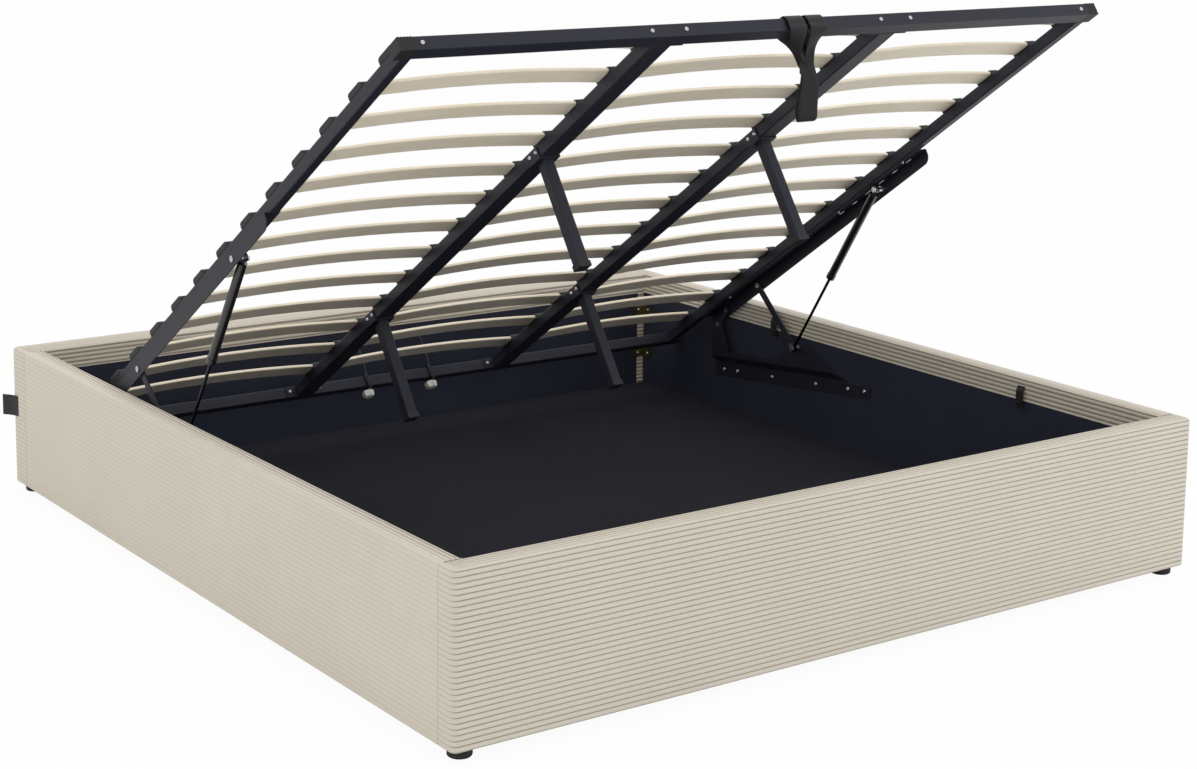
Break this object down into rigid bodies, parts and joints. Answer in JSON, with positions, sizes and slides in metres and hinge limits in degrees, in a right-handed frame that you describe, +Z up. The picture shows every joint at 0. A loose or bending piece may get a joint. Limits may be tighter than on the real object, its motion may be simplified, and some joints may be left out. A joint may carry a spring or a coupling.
{
  "type": "ottoman storage bed",
  "caption": "Upholstered ottoman bed base: a sprung-slat platform swings up on paired links and gas struts to open the storage box under the mattress.",
  "frame": {"origin": "centre of the bed's footprint, on the room's floor under the corner feet", "axes": "+X to the right as seen from the foot end, +Y to the head end, +Z up; drawn with the platform raised"},
  "size_m": [2.046, 2.18, 1.3436],
  "materials": {
    "corduroy": "beige wide-wale corduroy",
    "lining": "black woven lining cloth",
    "floor_cloth": "black non-woven cloth",
    "board": "raw chipboard",
    "softwood": "planed softwood",
    "black_plastic": "moulded black polypropylene",
    "webbing": "black polyester webbing",
    "powder_black": "black powder-coated steel",
    "bright_zinc": "bright zinc-plated steel",
    "yellow_zinc": "yellow passivated zinc on steel",
    "birch": "pale birch laminate",
    "rubber_buffer": "black rubber",
    "strut_black": "gloss black painted steel",
    "strut_chrome": "hard chromed steel",
    "knob_plastic": "off-white nylon"
  },
  "bodies": {
    "box": {"foot_panel_cover": "corduroy", "head_panel_cover": "corduroy", "left_side_cover": "corduroy", "right_side_cover": "corduroy", "end_panel_boards": "board", "side_panel_boards": "board", "end_linings": "lining", "side_linings": "lining", "storage_floor_cloth": "floor_cloth", "storage_floor_boards": "board", "floor_battens": "softwood", "floor_cross_beams": "softwood", "corner_feet": "black_plastic", "centre_feet": "black_plastic", "corner_brackets": "yellow_zinc", "corner_bracket_screws": "bright_zinc", "webbing_tabs": "webbing", "rest_ledges": "powder_black", "rest_buffers": "rubber_buffer", "base_plates": "powder_black", "base_plate_bolts": "bright_zinc", "base_pivot_pins": "bright_zinc"},
    "rear_link_right": {"rear_link_right": "powder_black", "rear_link_pin_right": "bright_zinc"},
    "rear_link_left": {"rear_link_left": "powder_black", "rear_link_pin_left": "bright_zinc"},
    "platform": {"front_bar": "powder_black", "rear_bar": "powder_black", "side_rails": "powder_black", "mid_rails": "powder_black", "mid_rail_end_plates": "powder_black", "corner_connectors": "black_plastic", "frame_bolts": "bright_zinc", "centre_slats": "birch", "side_slats": "birch", "outer_slat_holders": "black_plastic", "middle_slat_holders": "black_plastic", "leg_tubes": "powder_black", "leg_saddles": "powder_black", "leg_feet": "black_plastic", "leg_bolts": "bright_zinc", "lift_angles": "powder_black", "lift_angle_bolts": "bright_zinc", "strut_top_pins": "bright_zinc", "strap_hitches": "webbing", "mattress_retainer": "powder_black", "retainer_clamps": "powder_black", "retainer_knobs": "knob_plastic"},
    "front_arm_right": {"front_arm_right": "powder_black", "front_arm_pin_right": "bright_zinc"},
    "front_arm_left": {"front_arm_left": "powder_black", "front_arm_pin_left": "bright_zinc"},
    "strut_barrel_right": {"strut_barrel_right": "strut_black"},
    "strut_barrel_left": {"strut_barrel_left": "strut_black"},
    "strut_rod_right": {"strut_rod_right": "strut_chrome", "strut_foot_pin_right": "bright_zinc"},
    "strut_rod_left": {"strut_rod_left": "strut_chrome", "strut_foot_pin_left": "bright_zinc"},
    "pull_strap": {"pull_strap": "webbing"}
  },
  "joints": [
    {"name": "lift_hinge", "type": "hinge", "parent": "box", "child": "platform", "pos_m": [0, 0.70144, 0.46424], "axis": [1, 0, 0], "range_deg": [0, 34.5], "stiffness_Nm_per_rad": 100, "springref_deg": -171.89},
    {"name": "rear_link_swing_right", "type": "hinge", "parent": "platform", "child": "rear_link_right", "pos_m": [0.9525, 0.58168, 0.34726], "axis": [1, 0, 0], "range_deg": [-157.67, 0]},
    {"name": "front_arm_swing_right", "type": "hinge", "parent": "platform", "child": "front_arm_right", "pos_m": [0.9525, 0.43828, 0.44581], "axis": [1, 0, 0], "range_deg": [-77.02, 0]},
    {"name": "strut_tilt_right", "type": "hinge", "parent": "platform", "child": "strut_barrel_right", "pos_m": [0.93, -0.07103, 0.79585], "axis": [1, 0, 0], "range_deg": [0, 22.75]},
    {"name": "strut_slide_right", "type": "slide", "parent": "strut_barrel_right", "child": "strut_rod_right", "axis": [0, -0.5411, 0.841], "range_m": [0, 0.21872]},
    {"name": "rear_link_swing_left", "type": "hinge", "parent": "platform", "child": "rear_link_left", "pos_m": [-0.9525, 0.58168, 0.34726], "axis": [1, 0, 0], "range_deg": [-157.67, 0]},
    {"name": "front_arm_swing_left", "type": "hinge", "parent": "platform", "child": "front_arm_left", "pos_m": [-0.9525, 0.43828, 0.44581], "axis": [1, 0, 0], "range_deg": [-77.02, 0]},
    {"name": "strut_tilt_left", "type": "hinge", "parent": "platform", "child": "strut_barrel_left", "pos_m": [-0.93, -0.07103, 0.79585], "axis": [1, 0, 0], "range_deg": [0, 22.75]},
    {"name": "strut_slide_left", "type": "slide", "parent": "strut_barrel_left", "child": "strut_rod_left", "axis": [0, -0.5411, 0.841], "range_m": [0, 0.21872]},
    {"name": "strap_swing", "type": "hinge", "parent": "platform", "child": "pull_strap", "pos_m": [0.079, -0.76286, 1.28869], "axis": [1, 0, 0], "range_deg": [-30, 15]}
  ],
  "couplings": [
    {"joint": "rear_link_swing_right", "follows": "lift_hinge", "ratio": -4.5697},
    {"joint": "front_arm_swing_right", "follows": "lift_hinge", "ratio": -2.2322},
    {"joint": "strut_tilt_right", "follows": "lift_hinge", "ratio": 0.65922},
    {"joint": "strut_slide_right", "follows": "lift_hinge", "m_per_rad": 0.36307},
    {"joint": "rear_link_swing_left", "follows": "lift_hinge", "ratio": -4.5697},
    {"joint": "front_arm_swing_left", "follows": "lift_hinge", "ratio": -2.2322},
    {"joint": "strut_tilt_left", "follows": "lift_hinge", "ratio": 0.65922},
    {"joint": "strut_slide_left", "follows": "lift_hinge", "m_per_rad": 0.36307}
  ]
}
